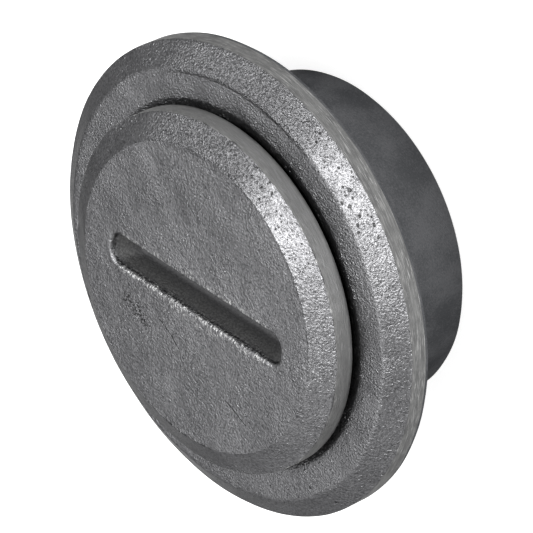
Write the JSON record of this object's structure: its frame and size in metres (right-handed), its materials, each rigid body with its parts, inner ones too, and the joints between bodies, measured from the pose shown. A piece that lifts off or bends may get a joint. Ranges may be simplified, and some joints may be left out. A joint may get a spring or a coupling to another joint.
{
  "type": "deck filler cap",
  "caption": "Round cast deck filler: a bevelled flange on a threaded barrel, closed by a slotted screw plug on a rubber seal ring; the plug unscrews with a flat key.",
  "frame": {"origin": "centre of the flange's underside, on the deck plane, where the barrel leaves it", "axes": "+Z out of the deck along the axis to the plug's top; X along the plug's key slot"},
  "size_m": [0.12, 0.12, 0.0487],
  "materials": {
    "socket_casting": "sand-cast skin with turned rim, seat and barrel",
    "plug_casting": "sand-cast skin with a turned side and a cut thread",
    "seal_rubber": "matt black moulded rubber"
  },
  "bodies": {
    "socket": {"deck_socket": "socket_casting"},
    "seal": {"seal_ring": "seal_rubber"},
    "plug": {"screw_plug": "plug_casting"}
  },
  "joints": [
    {"name": "plug_rise", "type": "slide", "parent": "socket", "child": "seal", "axis": [0, 0, 1], "range_m": [0, 0.014]},
    {"name": "plug_turn", "type": "hinge", "parent": "seal", "child": "plug", "pos_m": [0, 0, 0], "axis": [0, 0, 1], "range_deg": [0, 2160]}
  ],
  "couplings": [
    {"joint": "plug_rise", "follows": "plug_turn", "m_per_rad": 0.0003675}
  ]
}
